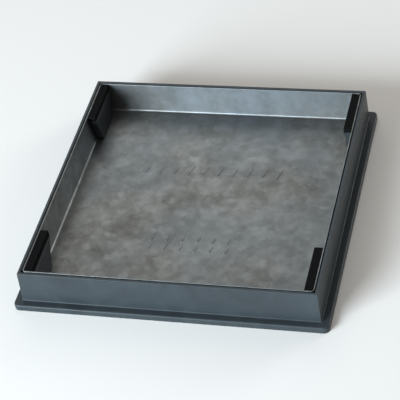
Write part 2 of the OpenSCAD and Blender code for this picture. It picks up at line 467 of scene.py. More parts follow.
@dataclass(frozen=True)
class GalvanisedSheet:
    """Hot-dip galvanised steel sheet.

    The zinc freezes into dull crystals, so the metal looks clouded: soft patches a few centimetres
    across, warm and cool, over a faint mosaic of crystals. It is a metal with a middling roughness.
    """

    name: str = "galvanised_sheet"
    light: str = "#939696"
    dark: str = "#6F6F6C"
    cool: str = "#7F888F"
    cloud_mm: float = 34.0
    crystal_mm: float = 11.0
    roughness: float = 0.45
    speck: str = "#E4E6E6"
    speck_mm: float = 3.0
    grain_mm: float = 1.3
    bump: float = 0.16

    def material(self) -> bpy.types.Material:
        """Builds the material.

        Returns:
            The material.
        """
        mat, add, where = started(self.name)
        cloud, wash, small, speck, grain = (
            add(
                "ShaderNodeTexNoise",
                {"Scale": per_metre(size), "Detail": detail, "Roughness": rough},
                {"Vector": where},
            ).outputs["Fac"]
            for size, detail, rough in (
                (self.cloud_mm, 4.0, 0.56),
                (self.cloud_mm * 4, 1.0, 0.5),
                (self.cloud_mm * 0.22, 4.0, 0.6),
                (self.speck_mm, 1.0, 0.5),
                (self.grain_mm, 3.0, 0.5),
            )
        )
        shape = {"feature": "SMOOTH_F1", "Scale": per_metre(self.crystal_mm), "Smoothness": 0.6}
        crystal = add("ShaderNodeTexVoronoi", shape, {"Vector": where})
        shade = add("ShaderNodeSeparateColor", {}, {"Color": crystal.outputs["Color"]})
        mosaic = add("ShaderNodeMix", {0: 0.42}, {2: small, 3: shade.outputs["Red"]})
        patch = add("ShaderNodeMix", {0: 0.38}, {2: cloud, 3: mosaic.outputs[0]})
        level, tint, bright = (
            add(
                "ShaderNodeMapRange",
                {"From Min": low, "From Max": high, "To Max": most},
                {"Value": value},
            ).outputs["Result"]
            for low, high, most, value in (
                (0.3, 0.7, 1.0, patch.outputs[0]),
                (0.42, 0.62, 0.4, wash),
                (0.75, 0.82, 0.45, speck),
            )
        )
        colours = {"data_type": "RGBA", 6: linear(self.dark), 7: linear(self.light)}
        colour = add("ShaderNodeMix", colours, {0: level})
        for share, over in ((tint, self.cool), (bright, self.speck)):
            laid = {"data_type": "RGBA", 7: linear(over)}
            colour = add("ShaderNodeMix", laid, {0: share, 6: colour.outputs[2]})
        spread = {"To Min": self.roughness + 0.06, "To Max": self.roughness - 0.05}
        rough = add("ShaderNodeMapRange", spread, {"Value": level})
        height = add("ShaderNodeMix", {0: 0.3}, {2: cloud, 3: grain})
        relief = {"Strength": self.bump, "Distance": 0.001}
        bump = add("ShaderNodeBump", relief, {"Height": height.outputs[0]})
        return surfaced(mat, {
            "Metallic": 1.0,
            "Base Color": colour.outputs[2],
            "Roughness": rough.outputs["Result"],
            "Normal": bump.outputs["Normal"],
        })


@dataclass(frozen=True)
class MouldedPlastic:
    """Polypropylene with carbon black, injection moulded in a spark-eroded tool.

    A fine even grain breaks up the highlights, and the surface is a little cloudy where the melt
    cooled unevenly. The grain is drawn about 1.4 mm across, coarser than the real one, so that it shows.
    The rounded edges are painted paler in patches: partly handling wear, partly a painted highlight along
    them.
    """

    name: str
    base: str
    scuff: str
    roughness: float
    specular: float = 0.4
    grain_mm: float = 1.4
    grain: float = 0.26
    # how much paler the rounded edges are painted: handling wear together with a painted edge highlight
    rub: float = 0.5
    flow_mm: float = 45.0
    dust_mm: float = 6.0
    cloudy: float = 0.35

    def material(self) -> bpy.types.Material:
        """Builds the material.

        Returns:
            The material.
        """
        mat, add, where = started(self.name)
        flow, fine, dust = (
            add("ShaderNodeTexNoise", {**shape, "Scale": per_metre(size)}, {"Vector": where}).outputs["Fac"]
            for size, shape in (
                (self.flow_mm, {"Detail": 4.0, "Roughness": 0.6, "Distortion": 0.8}),
                (self.grain_mm, {"Detail": 2.0}),
                (self.dust_mm, {"Detail": 6.0, "Roughness": 0.7}),
            )
        )
        edge = add("ShaderNodeNewGeometry")
        mark, mist, edge_rub_and_highlight_mask = (
            add(
                "ShaderNodeMapRange",
                {"From Min": low, "From Max": high, "To Max": most},
                {"Value": value},
            ).outputs["Result"]
            for low, high, most, value in (
                (0.56, 0.76, self.cloudy, dust),
                (0.3, 0.75, self.cloudy, flow),
                (0.53, 0.62, self.rub, edge.outputs["Pointiness"]),
            )
        )
        total = add("ShaderNodeMath", {"operation": "MAXIMUM"}, {0: mark, 1: mist})
        # paler rounded edges, patchy with the dust noise: handling wear together with a painted edge
        # highlight
        rubbed_and_highlit_edges = add("ShaderNodeMath", {"operation": "MULTIPLY"}, {0: edge_rub_and_highlight_mask, 1: dust})
        adding = {"operation": "ADD", "use_clamp": True}
        both = add("ShaderNodeMath", adding, {0: total.outputs[0], 1: rubbed_and_highlit_edges.outputs[0]})
        colours = {"data_type": "RGBA", 6: linear(self.base), 7: linear(self.scuff)}
        colour = add("ShaderNodeMix", colours, {0: both.outputs[0]})
        spread = {
            "From Min": 0.3,
            "From Max": 0.7,
            "To Min": self.roughness - 0.06,
            "To Max": self.roughness + 0.1,
        }
        rough = add("ShaderNodeMapRange", spread, {"Value": flow})
        bump = add("ShaderNodeBump", {"Strength": self.grain, "Distance": 0.0004}, {"Height": fine})
        return surfaced(mat, {
            "Specular IOR Level": self.specular,
            "Base Color": colour.outputs[2],
            "Roughness": rough.outputs["Result"],
            "Normal": bump.outputs["Normal"],
        })


@dataclass(frozen=True)
class CellularRubber:
    """Extruded cellular rubber: dull black with fine closed pores in its skin."""

    name: str = "cellular_rubber"
    base: str = "#1C1D1E"
    pore: str = "#101111"
    pore_mm: float = 0.9
    roughness: float = 0.86

    def material(self) -> bpy.types.Material:
        """Builds the material.

        Returns:
            The material.
        """
        mat, add, where = started(self.name)
        pores = add("ShaderNodeTexVoronoi", {"Scale": per_metre(self.pore_mm)}, {"Vector": where})
        depth = pores.outputs["Distance"]
        colours = {"data_type": "RGBA", 6: linear(self.pore), 7: linear(self.base)}
        colour = add("ShaderNodeMix", colours, {0: depth})
        bump = add("ShaderNodeBump", {"Strength": 0.3, "Distance": 0.0003}, {"Height": depth})
        return surfaced(mat, {
            "Roughness": self.roughness,
            "Base Color": colour.outputs[2],
            "Normal": bump.outputs["Normal"],
        })


@dataclass(frozen=True)
class BareMetal:
    """A small metal part whose surface is brushed, drawn or plated, with faint streaks along it."""

    name: str
    base: str
    shade: str
    roughness: float
    streak_mm: tuple[float, float, float] = (1.0, 1.0, 6.0)
    lump: float = 0.1
    spread: float = 0.1

    def material(self) -> bpy.types.Material:
        """Builds the material.

        Returns:
            The material.
        """
        mat, add, where = started(self.name)
        scale = tuple(per_metre(s) for s in self.streak_mm)
        along = add("ShaderNodeMapping", {"Scale": scale}, {"Vector": where}).outputs["Vector"]
        streak = add("ShaderNodeTexNoise", {"Scale": 1.0, "Detail": 3.0}, {"Vector": along}).outputs["Fac"]
        colours = {"data_type": "RGBA", 6: linear(self.shade), 7: linear(self.base)}
        colour = add("ShaderNodeMix", colours, {0: streak})
        ends = {"To Min": self.roughness - self.spread, "To Max": self.roughness + self.spread}
        rough = add("ShaderNodeMapRange", ends, {"Value": streak})
        bump = add("ShaderNodeBump", {"Strength": self.lump, "Distance": 0.0004}, {"Height": streak})
        return surfaced(mat, {
            "Metallic": 1.0,
            "Base Color": colour.outputs[2],
            "Roughness": rough.outputs["Result"],
            "Normal": bump.outputs["Normal"],
        })


@dataclass(frozen=True)
class StudioFloor:
    """Matt white board that the cover lies on."""

    name: str = "studio_board"
    base: str = "#F4F0EB"
    roughness: float = 0.9
    specular: float = 0.1

    def material(self) -> bpy.types.Material:
        """Builds the material.

        Returns:
            The material.
        """
        mat = bpy.data.materials.new(self.name)
        mat.use_nodes = True
        return surfaced(mat, {
            "Base Color": linear(self.base),
            "Roughness": self.roughness,
            "Specular IOR Level": self.specular,
        })


@dataclass
class Finishes:
    """Every material on the cover, each built once."""

    frame: bpy.types.Material = field(
        default_factory=MouldedPlastic("charcoal_polypropylene", "#2C3235", "#4A5155", 0.4, 0.27).material
    )
    pocket: bpy.types.Material = field(
        default_factory=MouldedPlastic("black_polypropylene", "#262B2E", "#343A3D", 0.44).material
    )
    # the caps' coarser tool grain leaves them darker and duller than the pockets
    cap: bpy.types.Material = field(
        default_factory=MouldedPlastic(
            "matt_black_polypropylene", "#090909", "#101010", 0.8, 0.1, 1.6, 0.3
        ).material
    )
    tray: bpy.types.Material = field(default_factory=GalvanisedSheet().material)
    # strip galvanised before it is folded has smaller, brighter crystals
    stiffener: bpy.types.Material = field(
        default_factory=GalvanisedSheet(
            "galvanised_channel", "#AFB2B2", "#8E8E89", "#9CA4AA", 20.0, 6.0, 0.4
        ).material
    )
    seal: bpy.types.Material = field(default_factory=CellularRubber().material)
    # drawn bar under bright zinc plate: streaks along it, and a fairly clean shine
    eye: bpy.types.Material = field(
        default_factory=BareMetal("zinc_plated_bar", "#B9BCBD", "#8D9092", 0.34).material
    )
    # weld as laid: dull and lumpy
    weld: bpy.types.Material = field(
        default_factory=BareMetal("weld_metal", "#8F8E8B", "#6B6966", 0.5, (1.2, 1.2, 1.2), 0.5).material
    )
    # cold-headed aluminium: pale, with no grain of its own
    rivet: bpy.types.Material = field(
        default_factory=BareMetal("plain_aluminium", "#D3D5D6", "#A9ABAC", 0.36, (1.5, 1.5, 1.5)).material
    )


# ---- Geometry Nodes ----


class GrowingTree:
    """A Geometry Nodes tree, built once, that ends in real geometry with a material."""

    name: str = ""
    inputs: tuple[tuple[str, str], ...] = ()

    def grow(self, add: Adder, given: bpy.types.NodeOutputs) -> bpy.types.NodeSocket:
        """Adds the nodes that make the shape. Each kind of tree has its own."""
        raise NotImplementedError

    def tree(self) -> bpy.types.GeometryNodeTree:
        """Builds the tree the first time.

        Returns:
            The tree.
        """
        if self.name in bpy.data.node_groups:
            return bpy.data.node_groups[self.name]
        tree = bpy.data.node_groups.new(self.name, "GeometryNodeTree")
        sockets = (("Geometry", "Geometry"), *self.inputs, ("Finish", "Material"))
        for label, kind in sockets:
            tree.interface.new_socket(label, in_out="INPUT", socket_type=f"NodeSocket{kind}")
        tree.interface.new_socket("Geometry", in_out="OUTPUT", socket_type="NodeSocketGeometry")
        add = partial(add_node, tree)
        given = add("NodeGroupInput").outputs
        shape = {"Geometry": self.grow(add, given)}
        real = add("GeometryNodeRealizeInstances", {}, shape).outputs["Geometry"]
        dressed = add("GeometryNodeSetMaterial", {}, {"Geometry": real, "Material": given["Finish"]})
        add("NodeGroupOutput", {}, {"Geometry": dressed.outputs["Geometry"]})
        return tree


class RowTree(GrowingTree):
    """Repeats one seed along a straight row, and then turns the row about Z."""

    name = "row_of_pieces"
    inputs = (
        ("Seed", "Object"), ("Count", "Int"), ("Start", "Vector"), ("Step", "Vector"),
        ("Piece Turn", "Vector"), ("Row Turn", "Float"),
    )

    def grow(self, add: Adder, given: bpy.types.NodeOutputs) -> bpy.types.NodeSocket:
        """Adds the row.

        Args:
            add: Adds a node to the tree.
            given: The tree's inputs.

        Returns:
            The turned row.
        """
        places = {"Count": given["Count"], "Start Location": given["Start"], "Offset": given["Step"]}
        line = add("GeometryNodeMeshLine", {"mode": "OFFSET"}, places).outputs["Mesh"]
        seed = add("GeometryNodeObjectInfo", {"transform_space": "ORIGINAL"}, {"Object": given["Seed"]})
        pieces = {"Points": line, "Instance": seed.outputs["Geometry"], "Rotation": given["Piece Turn"]}
        rows = add("GeometryNodeInstanceOnPoints", {}, pieces).outputs["Instances"]
        turn = add("ShaderNodeCombineXYZ", {}, {"Z": given["Row Turn"]}).outputs["Vector"]
        return add("GeometryNodeTransform", {}, {"Geometry": rows, "Rotation": turn}).outputs["Geometry"]


class BarTree(GrowingTree):
    """Rounds a path's corners and runs a round bar along it."""

    name = "bent_bar"
    inputs = (("Bar Radius", "Float"), ("Bend Radius", "Float"))
    bend_steps: int = 10
    sides: int = 24

    def grow(self, add: Adder, given: bpy.types.NodeOutputs) -> bpy.types.NodeSocket:
        """Adds the bar.

        Args:
            add: Adds a node to the tree.
            given: The tree's inputs.

        Returns:
            The bar, shaded smooth.
        """
        path = add("GeometryNodeMeshToCurve", {}, {"Mesh": given["Geometry"]}).outputs["Curve"]
        bends = {"Curve": path, "Radius": given["Bend Radius"]}
        rounding = {"mode": "POLY", "Count": self.bend_steps}
        bent = add("GeometryNodeFilletCurve", rounding, bends).outputs["Curve"]
        radius = {"Radius": given["Bar Radius"]}
        ring = add("GeometryNodeCurvePrimitiveCircle", {"Resolution": self.sides}, radius)
        along = {"Curve": bent, "Profile Curve": ring.outputs["Curve"]}
        bar = add("GeometryNodeCurveToMesh", {"Fill Caps": True}, along).outputs["Mesh"]
        return add("GeometryNodeSetShadeSmooth", {}, {"Geometry": bar}).outputs["Geometry"]


class BeadTree(GrowingTree):
    """Lays overlapping weld ripples round a circle, each a little different in size."""

    name = "weld_bead"
    inputs = (
        ("Ripples", "Int"), ("Circle Radius", "Float"), ("Ripple Radius", "Float"), ("Centre", "Vector"),
        ("Seed", "Int"),
    )
    smallest: float = 0.8
    largest: float = 1.15
    flatness: float = 0.7

    def grow(self, add: Adder, given: bpy.types.NodeOutputs) -> bpy.types.NodeSocket:
        """Adds the bead.

        Args:
            add: Adds a node to the tree.
            given: The tree's inputs.

        Returns:
            The bead, flattened a little.
        """
        round_it = {"Vertices": given["Ripples"], "Radius": given["Circle Radius"]}
        circle = add("GeometryNodeMeshCircle", {}, round_it).outputs["Mesh"]
        ball = add("GeometryNodeMeshIcoSphere", {"Subdivisions": 2}, {"Radius": given["Ripple Radius"]})
        smooth = {"Geometry": ball.outputs["Mesh"]}
        ripple = add("GeometryNodeSetShadeSmooth", {}, smooth).outputs["Geometry"]
        between = {"data_type": "FLOAT", 2: self.smallest, 3: self.largest}
        size = add("FunctionNodeRandomValue", between, {"Seed": given["Seed"]}).outputs[1]
        laid = {"Points": circle, "Instance": ripple, "Scale": size}
        spread = add("GeometryNodeInstanceOnPoints", {}, laid)
        place = {"Geometry": spread.outputs["Instances"], "Translation": given["Centre"]}
        flat = {"Scale": (1.0, 1.0, self.flatness)}
        return add("GeometryNodeTransform", flat, place).outputs["Geometry"]


def grown(
    name: str, tree: bpy.types.GeometryNodeTree, values: dict[str, object],
    start: bpy.types.Mesh | None = None,
) -> bpy.types.Object:
    """Evaluates a Geometry Nodes tree into a plain mesh object.

    Args:
        name: The new object's name.
        tree: The tree to run.
        values: The tree's inputs, by name.
        start: The mesh that the tree starts from, if it needs one.

    Returns:
        A mesh object with no modifier.
    """
    host = bpy.data.objects.new(name + "_host", start or bpy.data.meshes.new(name + "_host"))
    bpy.context.scene.collection.objects.link(host)
    modifier = host.modifiers.new(tree.name, "NODES")
    modifier.node_group = tree
    sockets = {item.name: item.identifier for item in tree.interface.items_tree if item.in_out == "INPUT"}
    for label, value in values.items():
        modifier[sockets[label]] = value
    graph = bpy.context.evaluated_depsgraph_get()
    mesh = bpy.data.meshes.new_from_object(host.evaluated_get(graph), depsgraph=graph)
    mesh.name = name
    host.modifiers.remove(modifier)
    base = host.data
    bpy.data.objects.remove(host)
    bpy.data.meshes.remove(base)
    piece = bpy.data.objects.new(name, mesh)
    bpy.context.scene.collection.objects.link(piece)
    return piece


def row(
    seed: bpy.types.Object, count: int, start: Vector, step: Vector, finish: bpy.types.Material,
    piece_turn: Euler | None = None, row_turn: float = 0.0,
) -> bpy.types.Object:
    """Repeats a seed along a row.

    Args:
        seed: The object to repeat, modelled about its own origin.
        count: How many.
        start: Where the first goes, in millimetres.
        step: From one to the next, in millimetres.
        finish: Their material.
        piece_turn: The turn of each piece.
        row_turn: The turn of the whole row about Z, in radians.

    Returns:
        One mesh object that holds the row.
    """
    values = {
        "Seed": seed,
        "Count": count,
        "Start": start * MM,
        "Step": step * MM,
        "Piece Turn": Vector(piece_turn or (0, 0, 0)),
        "Row Turn": row_turn,
        "Finish": finish,
    }
    return grown(seed.name + "_row", RowTree().tree(), values)


def removed(seed: bpy.types.Object) -> None:
    """Takes a seed out of the scene once its rows are made.

    Args:
        seed: The seed, which is deleted with its mesh.
    """
    mesh = seed.data
    bpy.data.objects.remove(seed)
    bpy.data.meshes.remove(mesh)


def report(piece: bpy.types.Object) -> None:
    """Logs a finished piece and its size."""
    size = [round(d / MM, 1) for d in piece.dimensions]
    LOG.info("%s: %d faces, %s mm", piece.name, len(piece.data.polygons), size)


# ---- The frame and its seal ----


@dataclass
class FrameMoulding:
    """The plastic frame: a flange, four leaning walls, a ledge for the tray, and webs underneath."""

    finishes: Finishes
    skin: float = 3.0
    web: float = 2.4
    web_pitch: float = 42.0
    flange_corner: float = 8.0
    opening_corner: float = 12.0
    wall_corner: float = 0.9
    overlap: float = 0.4
    web_edge: float = 0.3

    def section(self) -> tuple[list[Point], list[float], list[float]]:
        """The frame's section, from the flange's foot round to the flange's foot.

        Returns:
            Points as distance out and height, the rounding of each, and the corner radius at each.
        """
        s = SIZES
        groove_out = s.ledge_out - s.seal_inset + s.seal_fit
        groove_in = s.ledge_out - s.seal_inset - s.seal_w - s.seal_fit
        flange_out = s.wall_foot + s.flange
        under = s.ledge_h - s.groove - self.skin
        rows = [
            (flange_out, 0.0, 0.5, self.flange_corner),
            (flange_out, s.flange_h, 2.4, self.flange_corner),
            (s.wall_foot, s.flange_h, 1.2, self.wall_corner),
            (s.rim_out, s.top_z, 0.7, self.wall_corner),
            (s.rim_in, s.top_z, 0.5, 0.6),
            (s.ledge_out, s.ledge_h, 0.6, 0.6),
            (groove_out, s.ledge_h, 0.2, 0.6),
            (groove_out, s.ledge_h - s.groove, 0.2, 0.6),
            (groove_in, s.ledge_h - s.groove, 0.2, 0.6),
            (groove_in, s.ledge_h, 0.2, 0.6),
            (s.opening, s.ledge_h, 0.8, self.opening_corner),
            (s.opening, 0.0, 0.5, self.opening_corner),
            (s.opening + self.skin, 0.0, 0.4, self.opening_corner - 2),
            (s.opening + self.skin, under, 0.6, self.opening_corner - 2),
            (s.ledge_out, under, 0.6, 0.6),
            (s.ledge_out, 0.0, 0.4, 0.6),
            (s.wall_foot, 0.0, 0.4, 0.6),
            (s.wall_foot, s.flange_h - self.skin, 0.6, 0.6),
            (flange_out - self.skin, s.flange_h - self.skin, 0.6, self.flange_corner - self.skin),
            (flange_out - self.skin, 0.0, 0.4, self.flange_corner - self.skin),
        ]
        return [(r[0], r[1]) for r in rows], [r[2] for r in rows], [r[3] for r in rows]

    def shell(self) -> bpy.types.Object:
        """Runs the section round the cover.

        Returns:
            The frame without its webs.
        """
        points, radii, corners = self.section()
        rings: list[Ring] = []
        for i, (point, radius, corner) in enumerate(zip(points, radii, corners)):
            trio = [points[i - 1], point, points[(i + 1) % len(points)]]
            for out, z in fillet(trio, [0, radius, 0], closed=False)[1:-1]:
                rings.append(square_ring(out, z, corner + out - point[0]))
        piece = mesh_object("frame_moulding", *loft(rings, close=True))
        piece.data.materials.append(self.finishes.frame)
        return piece

    def webs(self) -> bpy.types.Object:
        """Stands the webs in the hollows under the flange and the ledge, along all four sides.

        Returns:
            All the webs, as one piece.
        """
        s = SIZES
        half = self.web / 2
        hollows = (
            (s.opening + self.skin, s.ledge_out, s.ledge_h - s.groove - self.skin),
            (s.wall_foot, s.wall_foot + s.flange - self.skin, s.flange_h - self.skin),
        )
        verts: list[Vector] = []
        faces: Faces = []
        for inner, outer, roof in hollows:
            near, far, height = inner - self.overlap, outer + self.overlap, roof + self.overlap
            y0, y1 = -s.tray / 2 - far, -s.tray / 2 - near
            corners = [(-half, 0.0), (half, 0.0), (half, height), (-half, height)]
            outline = fillet(corners, [self.web_edge, self.web_edge, 0, 0], 2)
            rings = [[Vector((x, y, z)) for x, z in outline] for y in (y1, y0)]
            more, sides = loft(rings, cap_first=True, cap_last=True)
            faces += [tuple(i + len(verts) for i in f) for f in sides]
            verts += more
        seed = mesh_object("frame_web", verts, faces)
        clear = s.tray + 2 * s.opening
        count = max(1, round(clear / self.web_pitch))
        step = Vector((clear / count, 0, 0))
        start = step * (-count / 2)
        rows = [
            row(seed, count + 1, start, step, self.finishes.frame, row_turn=math.radians(side.value))
            for side in Side
        ]
        removed(seed)
        return joined("frame_webs", rows)

    def build(self) -> None:
        shell, webs = self.shell(), self.webs()
        for piece in (shell, webs):
            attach(piece, "frame_body")
            report(piece)
        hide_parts("frame")


@dataclass
class FrameSeal:
    """The rubber strip in the ledge's groove, with two lips that the tray presses on."""

    finishes: Finishes
    valley_w: float = 2.4
    valley: float = 1.3
    corner: float = 1.5

    def build(self) -> None:
        s, half = SIZES, self.valley_w / 2
        outer, inner = s.ledge_out - s.seal_inset, s.ledge_out - s.seal_inset - s.seal_w
        low, high = s.ledge_h - s.groove, s.under_z
        mid = (outer + inner) / 2
        points = [
            (outer, low), (outer, high),
            (mid + half, high), (mid, high - self.valley), (mid - half, high),
            (inner, high), (inner, low),
        ]
        outline = fillet(points, [0.3, 1.3, 0.8, 0.8, 0.8, 1.3, 0.3], 3)
        rings = [square_ring(out, z, self.corner + (out - inner)) for out, z in outline]
        piece = mesh_object("frame_seal_strip", *loft(rings, close=True))
        piece.data.materials.append(self.finishes.seal)
        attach(piece, "frame_body")
        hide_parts("frame_seal")
        report(piece)


# ---- The tray ----


@dataclass
class RecessTray:
    """The folded tray, with a pattern of pressed bars on its floor."""

    finishes: Finishes
    rim_corner: float = 3.0
    bar_len: float = 20.0
    bar_w: float = 5.0
    bar_h: float = 0.8
    bar_count: int = 10
    bar_pitch: float = 22.0
    bar_row_y: float = 66.0
    slant: float = 20.0
    small_count: int = 6
    small_scale: float = 0.6
    small_rows_y: tuple[float, ...] = (-76.0, -94.0)
    rim_edge: float = 0.45
    fold_edge: float = 1.5
    flat_edge: float = 6.0

    def fold_points(self, radius: float) -> list[Point]:
        """Points round the fold between the floor and a wall, from the floor up.

        Args:
            radius: The radius of this face about the fold's own centre.

        Returns:
            Points as distance out and height.
        """
        s, steps = SIZES, 8
        turn = math.pi / 2 - s.lean
        turns = (i * turn / steps for i in range(steps + 1))
        middle = s.floor_z + s.fold
        return [(radius * math.sin(a) - s.fold_in, middle - radius * math.cos(a)) for a in turns]

    def shell(self) -> bpy.types.Object:
        """Runs the tray's section from the floor up the inside, over the rim and down the outside.

        Returns:
            The tray without its pressed bars.
        """
        s = SIZES
        inner, outer = self.fold_points(s.fold), self.fold_points(s.fold + s.sheet)
        over = [inner[-1], (0.0, s.top_z), (s.level_t, s.top_z), outer[-1]]
        rim = fillet(over, [0, self.rim_edge, self.rim_edge, 0], closed=False)[1:-1]
        flat, fold = -s.fold_in - self.flat_edge, -s.fold_in - self.fold_edge
        section = [(flat, s.floor_z), (fold, s.floor_z), *inner, *rim, *outer[::-1]]
        section += [(fold, s.under_z), (flat, s.under_z)]
        rings: list[Ring] = []
        for i, (out, z) in enumerate(section):
            past = out + s.inset(z)
            # the outer face's corners are wider by the sheet, from the middle of the rim on
            outside = i > len(inner) + 4 and past > s.sheet / 2
            corner = self.rim_corner + min(0.0, past) + (s.level_t if outside else 0)
            rings.append(square_ring(out, z, corner)[::-1])
        piece = mesh_object("recess_tray_shell", *loft(rings, cap_first=True, cap_last=True))
        piece.data.materials.append(self.finishes.tray)
        return piece

    def bar_seed(self, name: str, scale: float) -> bpy.types.Object:
        """One pressed bar: a long dome with flared sides, modelled about its own middle.

        Args:
            name: The seed's name.
            scale: Its length and width against the long row's.

        Returns:
            The seed.
        """
        width, length, steps = self.bar_w * scale / 2, self.bar_len * scale / 2, 8
        rings: list[Ring] = []
        dome = (
            (0.5, -0.3), (0.5, 0.0), (0.2, 0.18), (0.0, 0.42),
            (-0.25, 0.64), (-0.65, 0.77), (-1.1, self.bar_h),
        )
        for grow, z in dome:
            r = max(width + grow * min(1, scale * 1.2), 0.2)
            turns = (math.pi * k / steps for k in range(steps + 1))
            ring = [Vector((r * math.cos(a), (length - width) + r * math.sin(a), z)) for a in turns]
            ring += [Vector((-v.x, -v.y, z)) for v in ring]
            rings.append(ring)
        return mesh_object(name, *loft(rings, cap_first=True, cap_last=True))

    def bars(self) -> bpy.types.Object:
        """Lays the rows of pressed bars on the floor.

        Returns:
            All the bars, as one piece.
        """
        turn = Euler((0, 0, -math.radians(self.slant)))
        rows = []
        kinds = (
            ("floor_bar", 1.0, self.bar_count, (self.bar_row_y,)),
            ("small_floor_bar", self.small_scale, self.small_count, self.small_rows_y),
        )
        for name, scale, count, lines in kinds:
            seed = self.bar_seed(name, scale)
            step = Vector((self.bar_pitch, 0, 0))
            for y in lines:
                start = Vector((-(count - 1) / 2 * self.bar_pitch, y, SIZES.floor_z))
                rows.append(row(seed, count, start, step, self.finishes.tray, turn))
            removed(seed)
        return joined("tray_floor_bars", rows)

    def build(self) -> None:
        shell, bars = self.shell(), self.bars()
        for piece in (shell, bars):
            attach(piece, "tray_body")
            report(piece)
        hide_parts("recess_tray")


@dataclass
class FloorStiffeners:
    """Top-hat channels spot welded under the tray's floor."""

    finishes: Finishes
    count: int = 4
    width: float = 26.0
    drop: float = 8.0
    foot: float = 12.0
    sheet: float = 1.5
    end_gap: float = 6.0
    weld_d: float = 5.5
    weld_pitch: float = 48.0
    weld_margin: float = 20.0
    end_hold: float = 0.4

    def channel(self, index: int, x: float) -> bpy.types.Object:
        """One channel with bent corners.

        Args:
            index: Which channel, from 1.
            x: Where its middle lies.

        Returns:
            The channel.
        """
        s, t, half = SIZES, self.sheet, self.width / 2
        top, low = s.under_z, s.under_z - self.drop
        points = [
            (-half - self.foot, top), (-half - self.foot, top - t), (-half, top - t), (-half, low),
            (half, low), (half, top - t), (half + self.foot, top - t), (half + self.foot, top),
            (half - t, top), (half - t, low + t), (t - half, low + t), (t - half, top),
        ]
        radii = [0.2, 0.2, 0.8, 2.2, 2.2, 0.8, 0.2, 0.2, 1.6, 0.8, 0.8, 1.6]
        outline = fillet(points, radii, 4)
        reach = s.tray / 2 + s.opening - self.end_gap
        hold = self.end_hold
        rings = [
            [Vector((x + a, y, b)) for a, b in outline]
            for y in (reach, reach - hold, hold - reach, -reach)
        ]
        return mesh_object(f"stiffener_channel_{index}", *loft(rings, cap_first=True, cap_last=True))

    def welds(self, index: int, x: float) -> bpy.types.Object:
        """Rows of spot welds on both feet of a channel: shallow rings in the sheet.

        Args:
            index: Which channel, from 1.
            x: Where its middle lies.

        Returns:
            The channel's welds, as one piece.
        """
        steps, out = 16, self.weld_d / 2
        rings: list[Ring] = []
        for r, z in ((out, 0.05), (out - 0.4, -0.14), (out - 0.9, -0.16), (out - 1.4, -0.02), (0.3, -0.02)):
            turns = (math.tau * k / steps for k in range(steps))
            rings.append([Vector((r * math.cos(a), -r * math.sin(a), z)) for a in turns])
        seed = mesh_object(f"spot_weld_{index}", *loft(rings, cap_first=True, cap_last=True), smooth=80)
        reach = SIZES.tray / 2 + SIZES.opening - self.end_gap
        count = int((2 * reach - self.weld_margin) // self.weld_pitch) + 1
        z = SIZES.under_z - self.sheet
        rows = []
        for foot in (-1, 1):
            middle = x + foot * (self.width / 2 + self.foot / 2)
            start = Vector((middle, -(count - 1) / 2 * self.weld_pitch, z))
            rows.append(row(seed, count, start, Vector((0, self.weld_pitch, 0)), self.finishes.weld))
        removed(seed)
        return joined(f"stiffener_spot_welds_{index}", rows)

    def build(self) -> None:
        pitch = (SIZES.tray + 2 * SIZES.opening) / self.count
        for i in range(self.count):
            x = (i - (self.count - 1) / 2) * pitch
            channel, welds = self.channel(i + 1, x), self.welds(i + 1, x)
            channel.data.materials.append(self.finishes.stiffener)
            for piece in (channel, welds):
                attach(piece, "tray_body")
                report(piece)
            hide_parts(f"floor_stiffener_{i + 1}")


# ---- The corner pockets ----


